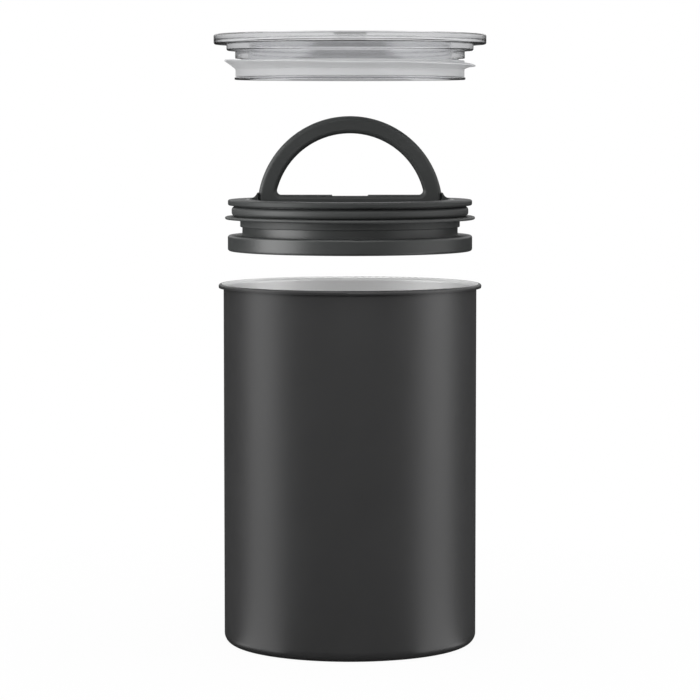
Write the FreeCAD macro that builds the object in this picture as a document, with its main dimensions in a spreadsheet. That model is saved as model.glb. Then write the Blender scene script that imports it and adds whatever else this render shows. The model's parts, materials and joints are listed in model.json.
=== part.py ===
import FreeCAD, Part
import math
import os
from types import SimpleNamespace

import Sketcher

# Driving sizes of the canister set: millimetres, degrees and counts
SIZES = {
    # Canister body, a drawn pot with a flared rim and a turned-down hem
    "body_diameter": 120.6,
    "body_height": 172.4,
    "wall": 0.6,
    "base_corner": 4.8,
    "rim_reach": 3.2,
    "rim_flare": 1.9,
    "hem_round": 1.0,
    "hem_height": 1.9,
    "hem_tuck": 0.4,
    # Clear lid, measured inwards from the bore or outwards from the rim
    "lid_lift": 113.4,
    "lid_overhang": 1.7,
    "lid_flange_height": 4.8,
    "lid_top_thickness": 2.8,
    "lid_step_gap": 1.15,
    "lid_step_height": 2.95,
    "lid_neck_gap": 5.3,
    "lid_neck_height": 3.6,
    "lid_seat_gap": 8.2,
    "lid_seat_height": 8.9,
    "lid_bead_gap": 4.95,
    "lid_bead_height": 1.2,
    "lid_skirt_wall": 3.0,
    "lid_edge_round": 0.9,
    "lid_bead_round": 0.4,
    "lid_corner_round": 2.0,
    # Lid gasket
    "seal_fit": 0.1,
    "lid_gasket_height": 7.9,
    "lid_gasket_gap": 5.4,
    "lid_lip_clearance": 0.2,
    "lid_lip_low": 3.9,
    "lid_lip_high": 7.2,
    "lid_lip_level": 6.5,
    "lid_lip_tip": 0.5,
    # Inner lid base
    "plunger_lift": 15.7,
    "ring_gap": 1.5,
    "ring_height": 7.5,
    "ring_wall": 4.2,
    "ring_round": 1.1,
    "neck_gap": 8.4,
    "neck_height": 3.9,
    "plate_level": 4.5,
    "plate_thickness": 2.5,
    # Inner lid gasket
    "gasket_height": 10.2,
    "skirt_gap": 7.4,
    "skirt_height": 3.2,
    "lip_clearance": 0.2,
    "lip_slope": 0.4,
    "lip_tip": 1.3,
    "lip_groove_gap": 5.3,
    "lip_groove": 0.2,
    "bead_gap": 3.35,
    "bead_height": 4.7,
    "bead_round": 1.8,
    "top_groove_gap": 5.3,
    # Inner lid cover
    "flange_gap": 1.6,
    "flange_height": 2.75,
    "flange_round": 0.8,
    "deck_band": 14.1,
    "hub_wall": 5.0,
    "spigot_step": 2.6,
    "spigot_fit": 0.15,
    "floor_thickness": 2.0,
    # Handle and its hinge
    "axis_drop": 4.55,
    "well_clearance": 1.5,
    "floor_clearance": 0.65,
    "bar_thickness": 8.2,
    "bar_depth": 8.0,
    "bar_round": 2.0,
    "foot_trim": 0.6,
    "crossbar_rise": 6.75,
    "loop_corner": 2.0,
    "notch_width": 17.0,
    "notch_depth": 0.57,
    "pin_diameter": 5.0,
    "pin_length": 4.4,
    "pin_clearance": 0.15,
    # Hinge caps and their screws
    "cap_clearance": 0.3,
    "nose_clearance": 0.15,
    "cap_fit": 0.1,
    "cap_end_wall": 0.6,
    "cap_width": 20.0,
    "cap_thickness": 1.8,
    "nose_height": 3.2,
    "nose_length": 4.6,
    "nose_tip": 0.4,
    "nose_sweep": 4.0,
    "nose_gap": 0.3,
    "cap_screw_margin": 3.0,
    "cap_screw_diameter": 2.0,
    "cap_screw_head": 3.8,
    "cap_screw_reach": 6.0,
    "screw_fit": 0.1,
    # Valve under the handle's cam
    "valve_travel": 2.0,
    "cam_reach": 6.0,
    "cam_width": 8.0,
    "cam_gap": 0.15,
    "button_radius": 5.0,
    "button_thickness": 1.6,
    "stem_diameter": 4.0,
    "stem_tip_diameter": 2.8,
    "stem_fit": 0.1,
    "guide_clearance": 0.15,
    "cup_radius": 10.0,
    "cup_wall": 1.6,
    "cup_floor": 1.2,
    "port_radius": 6.5,
    "seal_overlap": 2.0,
    "seal_thickness": 1.2,
    "seat_gap": 0.1,
    "foot_overlap": 4.0,
    "foot_thickness": 0.8,
    "vent_circle": 5.2,
    "vent_diameter": 2.0,
    "vent_count": 6,
    "spring_radius": 3.3,
    "wire_diameter": 0.6,
    "spring_turns": 3,
    "spring_end": 0.05,
    # Screws that clamp the inner lid together
    "screw_circle": 32.0,
    "screw_count": 4,
    "screw_diameter": 2.6,
    "screw_head_diameter": 5.6,
    "screw_head_height": 1.7,
    "screw_bite": 4.5,
    "screw_wall": 2.2,
}


class Size:
    """A number together with the sheet expression that gives it."""

    def __init__(self, number, text):
        self.number = number
        self.text = text

    def __add__(self, other):
        other = as_size(other)
        return Size(self.number + other.number, f"({self.text} + {other.text})")

    def __sub__(self, other):
        other = as_size(other)
        return Size(self.number - other.number, f"({self.text} - {other.text})")

    def __mul__(self, other):
        other = as_size(other)
        return Size(self.number * other.number, f"({self.text} * {other.text})")

    def __truediv__(self, other):
        other = as_size(other)
        return Size(self.number / other.number, f"({self.text} / {other.text})")

    def __neg__(self):
        return Size(-self.number, f"(-1 * {self.text})")


def as_size(thing):
    """A plain number as a Size."""
    return thing if isinstance(thing, Size) else Size(thing, repr(thing))


doc = FreeCAD.newDocument("VacuumCanister")
sheet = doc.addObject("Spreadsheet::Sheet", "Sizes")
for row, (alias, number) in enumerate(SIZES.items(), 1):
    sheet.set(f"A{row}", alias.replace("_", " "))
    sheet.set(f"B{row}", str(number))
    sheet.setAlias(f"B{row}", alias)
doc.recompute()
d = SimpleNamespace(**{alias: Size(sheet.get(alias), f"Sizes.{alias}") for alias in SIZES})
ZERO = Size(0.0, "0")


def settle(feature):
    """Recompute, and stop at the feature that failed."""
    doc.recompute()
    if not feature.isValid():
        raise ValueError(f"{feature.Label} failed: {feature.getStatusString()}")
    return feature


def bind(thing, prop, size):
    """Tie one property to the sheet."""
    thing.setExpression(prop, as_size(size).text)


def new_body(label, level):
    """A body that stands at its own level in the assembly."""
    body = doc.addObject("PartDesign::Body", label)
    body.Label = label
    bind(body, "Placement.Base.z", level)
    return body


def new_sketch(body, name, role, offset=None):
    """A sketch on one of the body's own origin planes, moved along its normal."""
    sketch = body.newObject("Sketcher::SketchObject", name)
    plane = next(f for f in body.Origin.OriginFeatures if f.Role == role)
    sketch.AttachmentSupport = [(plane, "")]
    sketch.MapMode = "FlatFace"
    if offset is not None:
        bind(sketch, "AttachmentOffset.Base.z", offset)
    return sketch


def pin_point(sketch, geometry, vertex, x, y):
    """Hold one point of a sketch at sheet coordinates."""
    for kind, axis, size in (("DistanceX", -2, as_size(x)), ("DistanceY", -1, as_size(y))):
        if size.number == 0:
            sketch.addConstraint(Sketcher.Constraint("PointOnObject", geometry, vertex, axis))
            continue
        row = sketch.addConstraint(Sketcher.Constraint(kind, -1, 1, geometry, vertex, size.number))
        sketch.setExpression(f"Constraints[{row}]", size.text)


def set_radius(sketch, geometry, size):
    """Hold the radius of a circle or arc."""
    row = sketch.addConstraint(Sketcher.Constraint("Radius", geometry, size.number))
    sketch.setExpression(f"Constraints[{row}]", size.text)


def polygon(sketch, points):
    """Closed outline whose corners are all held by the sheet."""
    points = [(as_size(x), as_size(y)) for x, y in points]
    corners = [FreeCAD.Vector(x.number, y.number, 0) for x, y in points]
    first = sketch.GeometryCount
    count = len(points)
    for i in range(count):
        sketch.addGeometry(Part.LineSegment(corners[i], corners[(i + 1) % count]), False)
    for i in range(count):
        follower = first + (i + 1) % count
        sketch.addConstraint(Sketcher.Constraint("Coincident", first + i, 2, follower, 1))
    for i, (x, y) in enumerate(points):
        pin_point(sketch, first + i, 1, x, y)


def rectangle(sketch, left, right, low, high):
    """Upright rectangle between four sheet coordinates."""
    polygon(sketch, [(left, low), (right, low), (right, high), (left, high)])


def circle(sketch, x, y, radius):
    """Circle held by its centre and radius."""
    x, y = as_size(x), as_size(y)
    centre = FreeCAD.Vector(x.number, y.number, 0)
    number = sketch.addGeometry(Part.Circle(centre, FreeCAD.Vector(0, 0, 1), radius.number), False)
    pin_point(sketch, number, 3, x, y)
    set_radius(sketch, number, radius)


def bow(sketch, radius, level, below=False):
    """Circular segment about the sketch origin, on one side of a chord at one level."""
    reach = math.sqrt(radius.number ** 2 - level.number ** 2)
    ring = Part.Circle(FreeCAD.Vector(), FreeCAD.Vector(0, 0, 1), radius.number)
    right = math.atan2(level.number, reach)
    left = math.pi - right
    angles = (left, right + 2 * math.pi) if below else (right, left)
    arc = sketch.addGeometry(Part.ArcOfCircle(ring, *angles), False)
    ends = [FreeCAD.Vector(math.cos(a), math.sin(a), 0) * radius.number for a in reversed(angles)]
    chord = sketch.addGeometry(Part.LineSegment(*ends), False)
    sketch.addConstraint(Sketcher.Constraint("Coincident", arc, 3, -1, 1))
    set_radius(sketch, arc, radius)
    sketch.addConstraint(Sketcher.Constraint("Coincident", arc, 2, chord, 1))
    sketch.addConstraint(Sketcher.Constraint("Coincident", chord, 2, arc, 1))
    sketch.addConstraint(Sketcher.Constraint("Horizontal", chord))
    if level.number == 0:
        sketch.addConstraint(Sketcher.Constraint("PointOnObject", chord, 1, -1))
        return
    row = sketch.addConstraint(Sketcher.Constraint("DistanceY", -1, 1, chord, 1, level.number))
    sketch.setExpression(f"Constraints[{row}]", level.text)


def revolve(body, name, points):
    """Turn a closed outline of (radius, height) corners about the upright axis."""
    sketch = new_sketch(body, name + "_section", "XZ_Plane")
    polygon(sketch, points)
    return turn(body, name, sketch)


def turn(body, name, sketch):
    """Full revolution of a sketch about its upright axis."""
    feature = body.newObject("PartDesign::Revolution", name)
    feature.Profile = sketch
    feature.ReferenceAxis = (sketch, ["V_Axis"])
    feature.Angle = 360
    return settle(feature)


def pad(body, name, sketch, length, symmetric=False):
    """Pad a sketch along its normal or to both sides."""
    feature = body.newObject("PartDesign::Pad", name)
    feature.Profile = sketch
    feature.SideType = "Symmetric" if symmetric else "One side"
    bind(feature, "Length", length)
    return settle(feature)


def pocket(body, name, sketch, length=None, symmetric=False, reverse=False):
    """Cut a sketch into the body, right through where no depth is given."""
    before = body.Shape.Volume
    feature = body.newObject("PartDesign::Pocket", name)
    feature.Profile = sketch
    feature.SideType = "Symmetric" if symmetric else "One side"
    feature.Reversed = reverse
    if length is None:
        feature.Type = "ThroughAll"
    else:
        bind(feature, "Length", length)
    settle(feature)
    if body.Shape.Volume > before - 1e-6:
        raise ValueError(f"{name} cuts nothing")
    return feature


def polar(body, name, feature, count):
    """Repeat a feature evenly round the upright axis."""
    before = body.Shape.Volume
    pattern = body.newObject("PartDesign::PolarPattern", name)
    pattern.Originals = [feature]
    axis = next(f for f in body.Origin.OriginFeatures if f.Role == "Z_Axis")
    pattern.Axis = (axis, [""])
    pattern.Angle = 360
    bind(pattern, "Occurrences", count)
    body.Tip = pattern
    settle(pattern)
    if abs(body.Shape.Volume - before) < 1e-6:
        raise ValueError(f"{name} repeats nothing")
    return pattern


def fillet(body, name, edges, radius, kind="PartDesign::Fillet"):
    """Round the named edges of the body's last feature."""
    base = body.Tip
    if not edges:
        raise ValueError(f"{name} finds no edge")
    feature = body.newObject(kind, name)
    feature.Base = (base, edges)
    bind(feature, "Radius" if kind.endswith("Fillet") else "Size", radius)
    return settle(feature)


def rings(body, *places):
    """Edges of the last feature that are circles of a radius at a height."""
    wanted = [(as_size(r).number, as_size(z).number) for r, z in places]
    names = []
    for number, edge in enumerate(body.Tip.Shape.Edges, 1):
        if not isinstance(edge.Curve, Part.Circle):
            continue
        found = edge.Curve.Radius, edge.Curve.Center.z
        if any(math.dist(found, place) < 1e-4 for place in wanted):
            names.append(f"Edge{number}")
    return names


def edges_where(body, test):
    """Edges of the last feature whose ends and middle all pass a test."""
    names = []
    for number, edge in enumerate(body.Tip.Shape.Edges, 1):
        middle = edge.valueAt((edge.FirstParameter + edge.LastParameter) / 2)
        points = [vertex.Point for vertex in edge.Vertexes] + [middle]
        if all(test(point) for point in points):
            names.append(f"Edge{number}")
    return names


def near(a, b):
    return abs(a - b) < 1e-4


# Levels and radii that several pieces share
bore = d.body_diameter / 2 - d.wall
rim_radius = bore + d.rim_reach
lid_seat_low = d.lid_bead_height
lid_seat_high = lid_seat_low + d.lid_seat_height
lid_step_low = lid_seat_high + d.lid_neck_height
lid_flange_low = lid_step_low + d.lid_step_height
lid_top = lid_flange_low + d.lid_flange_height
lid_seat_radius = bore - d.lid_seat_gap
lid_level = d.body_height + d.lid_lift - lid_flange_low

plunger_level = d.body_height + d.plunger_lift
neck_top = d.ring_height + d.neck_height
flange_low = neck_top + d.gasket_height
deck = flange_low + d.flange_height
axis_level = deck - d.axis_drop
well_radius = bore - d.deck_band
hub_radius = well_radius + d.hub_wall
spigot_radius = hub_radius - d.spigot_step
handle_radius = well_radius - d.well_clearance
bar_half = d.bar_depth / 2
well_floor = axis_level - bar_half - d.floor_clearance
plate_top = d.plate_level + d.plate_thickness
pin_radius = d.pin_diameter / 2
slot_half = pin_radius + d.pin_clearance
foot_side = handle_radius - d.foot_trim
cap_inner = handle_radius + d.cap_clearance
nose_inner = foot_side + d.nose_clearance
cap_outer = hub_radius - d.cap_end_wall
cap_low = deck - d.cap_thickness
cap_screw_x = (well_radius + cap_outer) / 2
cap_screw_y = d.cap_width / 2 - d.cap_screw_margin
nose_half = cap_screw_y - d.cap_screw_head / 2 - d.screw_fit - d.nose_gap
button_top = axis_level - d.cam_reach - d.cam_gap
button_low = button_top - d.button_thickness
cup_floor_top = plate_top + d.cup_floor
stem_radius = d.stem_diameter / 2
tip_radius = d.stem_tip_diameter / 2
seal_top = d.plate_level - d.valve_travel - d.seat_gap
seal_low = seal_top - d.seal_thickness
boss_radius = d.screw_diameter / 2 + d.screw_wall
boss_x = d.screw_circle * math.cos(math.pi / 4)


def make_canister_body():
    """Thin drawn pot: straight wall, rounded base, flared rim and a hem turned down outside."""
    body = new_body("canister_body", ZERO)
    outer = d.body_diameter / 2
    top = d.body_height
    under = top - d.wall
    hem_low = top - d.hem_height
    hem_inner = rim_radius - d.wall
    revolve(body, "pot", [
        (0, 0), (outer, 0), (outer, under), (hem_inner, under), (hem_inner - d.hem_tuck, hem_low),
        (rim_radius - d.hem_tuck, hem_low), (rim_radius, top), (bore, top), (bore, d.wall), (0, d.wall),
    ])
    fillet(body, "base_outside", rings(body, (outer, 0)), d.base_corner)
    fillet(body, "base_inside", rings(body, (bore, d.wall)), d.base_corner - d.wall)
    fillet(body, "flare_inside", rings(body, (bore, top)), d.rim_flare)
    fillet(body, "flare_outside", rings(body, (outer, under)), d.rim_flare - d.wall)
    fillet(body, "hem_outside", rings(body, (rim_radius, top)), d.hem_round)
    fillet(body, "hem_inside", rings(body, (hem_inner, under)), d.hem_round - d.wall)
    return body


def make_lid_disc():
    """Clear moulded lid: flange, stepped plug, gasket seat and bead, hollow below."""
    body = new_body("lid_disc", lid_level)
    flange = rim_radius + d.lid_overhang
    step = bore - d.lid_step_gap
    neck = bore - d.lid_neck_gap
    bead = bore - d.lid_bead_gap
    inside = lid_seat_radius - d.lid_skirt_wall
    ceiling = lid_top - d.lid_top_thickness
    revolve(body, "lid", [
        (inside, 0), (bead, 0), (bead, lid_seat_low), (lid_seat_radius, lid_seat_low),
        (lid_seat_radius, lid_seat_high), (neck, lid_seat_high), (neck, lid_step_low),
        (step, lid_step_low), (step, lid_flange_low), (flange, lid_flange_low),
        (flange, lid_top), (0, lid_top), (0, ceiling), (inside, ceiling),
    ])
    outside = rings(body, (flange, lid_flange_low), (flange, lid_top), (step, lid_step_low))
    fillet(body, "edges", outside, d.lid_edge_round)
    fillet(body, "bead_edges", rings(body, (bead, 0), (bead, lid_seat_low)), d.lid_bead_round)
    fillet(body, "ceiling_corner", rings(body, (inside, ceiling)), d.lid_corner_round)
    return body


def make_lid_gasket():
    """Soft ring in the lid's seat, with one lip that tapers to a thin edge."""
    body = new_body("lid_gasket", lid_level + lid_seat_low)
    inner = lid_seat_radius + d.seal_fit
    outer = bore - d.lid_gasket_gap
    tip = bore - d.lid_lip_clearance
    low = d.lid_lip_level - d.lid_lip_tip / 2
    high = d.lid_lip_level + d.lid_lip_tip / 2
    revolve(body, "ring", [
        (inner, d.seal_fit), (outer, d.seal_fit), (outer, d.lid_lip_low), (tip, low), (tip, high),
        (outer, d.lid_lip_high), (outer, d.lid_gasket_height), (inner, d.lid_gasket_height),
    ])
    return body


def make_plunger_base():
    """Bottom ring of the inner lid, with its neck, web plate and valve port."""
    body = new_body("plunger_base", plunger_level)
    ring = bore - d.ring_gap
    neck = bore - d.neck_gap
    socket = spigot_radius + d.spigot_fit
    recess = ring - d.ring_wall
    revolve(body, "ring", [
        (d.port_radius, d.plate_level), (recess, d.plate_level), (recess, 0), (ring, 0),
        (ring, d.ring_height), (neck, d.ring_height), (neck, neck_top), (socket, neck_top),
        (socket, plate_top), (d.port_radius, plate_top),
    ])
    fillet(body, "ring_edges", rings(body, (ring, 0), (ring, d.ring_height)), d.ring_round)
    sketch = new_sketch(body, "screw_hole", "XY_Plane")
    circle(sketch, boss_x, boss_x, d.screw_diameter / 2 + d.screw_fit)
    hole = pocket(body, "screw_holes", sketch, symmetric=True)
    polar(body, "screw_hole_ring", hole, d.screw_count)
    return body


def make_plunger_gasket():
    """Rubber ring of the inner lid: skirt, wiper lip and rounded bead."""
    body = new_body("plunger_gasket", plunger_level + neck_top)
    inner = hub_radius + d.seal_fit
    skirt = bore - d.skirt_gap
    tip = bore - d.lip_clearance
    groove = bore - d.lip_groove_gap
    bead = bore - d.bead_gap
    top_groove = bore - d.top_groove_gap
    lip_low = d.skirt_height + d.lip_slope
    lip_high = lip_low + d.lip_tip
    bead_low = lip_high + d.lip_groove
    bead_high = bead_low + d.bead_height
    revolve(body, "ring", [
        (inner, 0), (skirt, 0), (skirt, d.skirt_height), (tip, lip_low), (tip, lip_high),
        (groove, lip_high), (groove, bead_low), (bead, bead_low), (bead, bead_high),
        (top_groove, bead_high), (top_groove, d.gasket_height), (inner, d.gasket_height),
    ])
    fillet(body, "bead_edges", rings(body, (bead, bead_low), (bead, bead_high)), d.bead_round)
    fillet(body, "lip_edge", rings(body, (tip, lip_high)), d.lip_tip / 2)
    return body


def make_plunger_cover():
    """Deck of the inner lid: flange, hub, round well for the handle and valve cup."""
    body = new_body("plunger_cover", plunger_level)
    flange = bore - d.flange_gap
    guide = stem_radius + d.guide_clearance
    cup_outer = d.cup_radius + d.cup_wall
    under = well_floor - d.floor_thickness
    revolve(body, "deck", [
        (guide, plate_top), (cup_outer, plate_top), (cup_outer, under), (well_radius, under),
        (well_radius, plate_top), (spigot_radius, plate_top), (spigot_radius, neck_top),
        (hub_radius, neck_top), (hub_radius, flange_low), (flange, flange_low), (flange, deck),
        (well_radius, deck), (well_radius, well_floor), (d.cup_radius, well_floor),
        (d.cup_radius, cup_floor_top), (guide, cup_floor_top),
    ])
    fillet(body, "flange_edges", rings(body, (flange, flange_low), (flange, deck)), d.flange_round)
    fillet(body, "well_edge", rings(body, (well_radius, deck)), d.flange_round)

    # Bosses that take the clamping screws
    sketch = new_sketch(body, "boss", "XY_Plane", plate_top)
    circle(sketch, boss_x, boss_x, boss_radius)
    boss = pad(body, "bosses", sketch, under - plate_top)
    polar(body, "boss_ring", boss, d.screw_count)
    sketch = new_sketch(body, "boss_hole", "XY_Plane", plate_top)
    circle(sketch, boss_x, boss_x, d.screw_diameter / 2 + d.screw_fit)
    hole = pocket(body, "boss_holes", sketch, d.screw_bite + d.screw_fit, reverse=True)
    polar(body, "boss_hole_ring", hole, d.screw_count)

    # Air ways in the cup's floor, inside the port
    sketch = new_sketch(body, "vent", "XY_Plane", cup_floor_top)
    circle(sketch, d.vent_circle, 0, d.vent_diameter / 2)
    vent = pocket(body, "vents", sketch, d.cup_floor)
    polar(body, "vent_ring", vent, d.vent_count)

    # Seat, trunnion slot and screw holes of each hinge cap
    for side, name in ((1, "right"), (-1, "left")):
        ends = sorted((cap_inner * side, (cap_outer + d.cap_fit) * side), key=lambda s: s.number)
        half = d.cap_width / 2 + d.cap_fit
        sketch = new_sketch(body, f"{name}_cap_seat", "XY_Plane", deck)
        rectangle(sketch, ends[0], ends[1], -half, half)
        pocket(body, f"{name}_seat", sketch, d.cap_thickness)
        sketch = new_sketch(body, f"{name}_slot_section", "XY_Plane", deck)
        rectangle(sketch, ends[0], ends[1], -slot_half, slot_half)
        pocket(body, f"{name}_slot", sketch, d.axis_drop)
        sketch = new_sketch(body, f"{name}_bearing_section", "YZ_Plane", ends[0])
        circle(sketch, 0, axis_level, slot_half)
        pocket(body, f"{name}_bearing", sketch, ends[1] - ends[0], reverse=True)
        sketch = new_sketch(body, f"{name}_cap_screws", "XY_Plane", cap_low)
        for y in (cap_screw_y, -cap_screw_y):
            circle(sketch, cap_screw_x * side, y, d.cap_screw_diameter / 2 + d.screw_fit)
        pocket(body, f"{name}_screw_holes", sketch, d.cap_screw_reach + d.screw_fit)
    return body


def make_hinge_cap(label, spin):
    """Cap over one trunnion, flush with the deck, with a nose beside the handle's foot."""
    body = new_body(label, plunger_level)
    body.Placement.Rotation = FreeCAD.Rotation(FreeCAD.Vector(0, 0, 1), spin)
    half = d.cap_width / 2
    sketch = new_sketch(body, "plate_outline", "XY_Plane", cap_low)
    rectangle(sketch, cap_inner, cap_outer, -half, half)
    pad(body, "plate", sketch, d.cap_thickness)
    sketch = new_sketch(body, "saddle_outline", "XY_Plane", axis_level)
    rectangle(sketch, cap_inner, cap_outer, -pin_radius, pin_radius)
    pad(body, "saddle", sketch, cap_low - axis_level)
    sketch = new_sketch(body, "bearing_section", "YZ_Plane", cap_inner)
    circle(sketch, 0, axis_level, slot_half)
    pocket(body, "bearing", sketch, cap_outer - cap_inner, reverse=True)
    sketch = new_sketch(body, "nose_outline", "XZ_Plane")
    nose_top = deck + d.nose_height
    knee = nose_inner + d.nose_length / 3, deck + d.nose_height * 0.4
    polygon(sketch, [
        (nose_inner, deck), (nose_inner, nose_top), (nose_inner + d.nose_tip, nose_top), knee,
        (nose_inner + d.nose_length, deck),
    ])
    pad(body, "nose", sketch, nose_half * 2, symmetric=True)
    edge = edges_where(body, lambda p: near(p.x, knee[0].number) and near(p.z, knee[1].number))
    fillet(body, "nose_hollow", edge, d.nose_sweep)
    sketch = new_sketch(body, "screw_ways", "XY_Plane", deck)
    for y in (cap_screw_y, -cap_screw_y):
        circle(sketch, cap_screw_x, y, d.cap_screw_diameter / 2 + d.screw_fit)
    pocket(body, "screw_holes", sketch, d.cap_thickness)
    sink = (d.cap_screw_head - d.cap_screw_diameter) / 2
    way = d.cap_screw_diameter.number / 2 + d.screw_fit.number
    edge = [
        f"Edge{number}" for number, e in enumerate(body.Tip.Shape.Edges, 1)
        if isinstance(e.Curve, Part.Circle) and near(e.Curve.Radius, way)
        and near(e.Curve.Center.z, deck.number)
    ]
    fillet(body, "countersinks", edge, sink, "PartDesign::Chamfer")
    return body


def make_handle():
    """D-shaped loop with a straight crossbar, trunnions and the valve cam."""
    loop = new_body("handle_loop", ZERO)
    sketch = new_sketch(loop, "loop_outline", "XZ_Plane")
    bow(sketch, handle_radius, ZERO)
    pad(loop, "loop", sketch, d.bar_depth, symmetric=True)
    sketch = new_sketch(loop, "foot_outline", "XZ_Plane")
    beyond = handle_radius + d.foot_trim
    for left, right in ((foot_side, beyond), (-beyond, -foot_side)):
        rectangle(sketch, left, right, -bar_half, d.bar_depth * 2)
    pocket(loop, "foot_sides", sketch, symmetric=True)
    sketch = new_sketch(loop, "crossbar_section", "YZ_Plane")
    bow(sketch, bar_half, ZERO, below=True)
    pad(loop, "crossbar", sketch, foot_side * 2, symmetric=True)
    sketch = new_sketch(loop, "grip_outline", "XZ_Plane")
    grip = handle_radius - d.bar_thickness
    bow(sketch, grip, d.crossbar_rise)
    pocket(loop, "grip", sketch, symmetric=True)
    level = d.crossbar_rise.number
    corners = edges_where(loop, lambda p: near(p.z, level) and near(math.hypot(p.x, p.z), grip.number))
    fillet(loop, "grip_corners", corners, d.loop_corner)
    half = bar_half.number
    reach = foot_side.number

    def on_rim(p):
        face = near(abs(p.y), half) and p.z > -1e-6
        end = near(abs(p.x), reach) and near(math.hypot(p.y, p.z), half)
        return face or end

    def sharp(p):
        return on_rim(p) and not (near(p.z, 0) and abs(p.x) < reach - 1e-3)

    fillet(loop, "rounding", edges_where(loop, sharp), d.bar_round)
    sketch = new_sketch(loop, "notch_outline", "XZ_Plane")
    side = d.notch_width / 2
    rectangle(sketch, -side, side, d.crossbar_rise - d.notch_depth, d.crossbar_rise + d.notch_depth)
    pocket(loop, "notch", sketch, symmetric=True)
    sketch = new_sketch(loop, "trunnion_section", "YZ_Plane")
    circle(sketch, 0, 0, pin_radius)
    pad(loop, "trunnions", sketch, (handle_radius + d.pin_length) * 2, symmetric=True)

    cam = doc.addObject("Part::Feature", "valve_cam")
    cam.Shape = cam_shape()
    handle = doc.addObject("Part::MultiFuse", "handle")
    handle.Label = "handle"
    handle.Shapes = [loop, cam]
    handle.Refine = True
    bind(handle, "Placement.Base.z", plunger_level + axis_level)
    doc.recompute()
    return handle


def cam_shape():
    """Involute lobe: the flat button under it moves in step with the handle's angle."""
    reach = d.cam_reach.number
    rate = d.valve_travel.number / (math.pi / 2)
    half = bar_half.number
    points = []
    for step in range(13):
        angle = math.pi / 2 * step / 12
        lift = reach - rate * angle
        y = -lift * math.sin(angle) + rate * math.cos(angle)
        z = -lift * math.cos(angle) - rate * math.sin(angle)
        points.append(FreeCAD.Vector(0, y, z))
    flank = Part.BSplineCurve()
    flank.interpolate(points)
    corners = [points[-1], FreeCAD.Vector(0, -half, 0), FreeCAD.Vector(0, half, 0), points[0]]
    sides = [Part.makeLine(a, b) for a, b in zip(corners, corners[1:])]
    face = Part.Face(Part.Wire([flank.toShape()] + sides))
    lobe = face.extrude(FreeCAD.Vector(d.cam_width.number, 0, 0))
    lobe.translate(FreeCAD.Vector(-d.cam_width.number / 2, 0, 0))
    return lobe


def make_valve():
    """Stem, button and seal that move together, and the spring round the stem."""
    stem = new_body("valve_stem", plunger_level)
    foot = stem_radius + d.foot_overlap
    foot_low = seal_low - d.foot_thickness
    revolve(stem, "stem", [
        (0, foot_low), (foot, foot_low), (foot, seal_low), (stem_radius, seal_low),
        (stem_radius, button_low), (tip_radius, button_low), (tip_radius, button_top - d.stem_fit),
        (0, button_top - d.stem_fit),
    ])
    button = new_body("valve_button", plunger_level)
    revolve(button, "button", [
        (tip_radius + d.stem_fit, button_low), (d.button_radius, button_low),
        (d.button_radius, button_top), (tip_radius + d.stem_fit, button_top),
    ])
    seal = new_body("valve_seal", plunger_level)
    outer = d.port_radius + d.seal_overlap
    revolve(seal, "seal", [
        (stem_radius + d.stem_fit, seal_low), (outer, seal_low), (outer, seal_top),
        (stem_radius + d.stem_fit, seal_top),
    ])
    spring = doc.addObject("Part::Feature", "valve_spring")
    spring.Label = "valve_spring"
    spring.Shape = spring_shape(cup_floor_top.number, button_low.number)
    bind(spring, "Placement.Base.z", plunger_level)
    return [stem, button, seal, spring]


def biarc(start, start_way, end, end_way):
    """Two arcs that leave one point along its direction and reach another along its own."""
    gap = end - start
    ways = start_way + end_way
    spread = 2 * (1 - start_way.dot(end_way))
    slope = gap.dot(ways)
    length = (math.sqrt(slope ** 2 + spread * gap.dot(gap)) - slope) / spread
    joint = (start + end + (start_way - end_way) * length) * 0.5
    arcs = []
    for point, way, far in ((start, start_way, joint), (end, end_way * -1, joint)):
        chord = far - point
        normal = way.cross(chord).cross(way).normalize()
        radius = chord.dot(chord) / (2 * chord.dot(normal))
        centre = point + normal * radius
        half_way = centre + ((point + far) * 0.5 - centre).normalize() * radius
        ends = (point, half_way, far) if point == start else (far, half_way, point)
        arcs.append(Part.Arc(*ends).toShape())
    return arcs


def spring_shape(low, high):
    """Compression coil between two levels, one unbroken round wire."""
    wire = d.wire_diameter.number
    mean = d.spring_radius.number
    turns = d.spring_turns.number
    end = d.spring_end.number
    rise = (high - low - wire - 2 * end) / turns
    quarters = int(round(turns * 4))
    slope = rise / (2 * math.pi * mean)

    def station(k):
        angle = math.pi / 2 * k
        point = FreeCAD.Vector(mean * math.cos(angle), mean * math.sin(angle),
                               low + end + wire / 2 + rise * k / 4)
        way = FreeCAD.Vector(-math.sin(angle), math.cos(angle), slope).normalize()
        return point, way

    edges = []
    for k in range(quarters):
        edges += biarc(*station(k), *station(k + 1))
    path = Part.Wire(edges)
    section = Part.Wire(Part.Circle(station(0)[0], station(0)[1], wire / 2).toShape())
    shell = Part.BRepOffsetAPI.MakePipeShell(path)
    shell.add(section)
    shell.build()
    shell.makeSolid()
    per_turn = 48
    points = path.discretize(Number=int(turns * per_turn) + 1)
    gap = min(a.distanceToPoint(b) for i, a in enumerate(points) for b in points[i + per_turn // 2:])
    print(f"valve spring: least gap between turns {gap - wire:.2f} mm")
    return shell.shape()


def cylinder(name, radius, height, x, y, z):
    """Upright cylinder at sheet coordinates."""
    shape = doc.addObject("Part::Cylinder", name)
    bind(shape, "Radius", radius)
    bind(shape, "Height", height)
    for axis, size in zip("xyz", (x, y, z)):
        bind(shape, f"Placement.Base.{axis}", size)
    return shape


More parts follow.
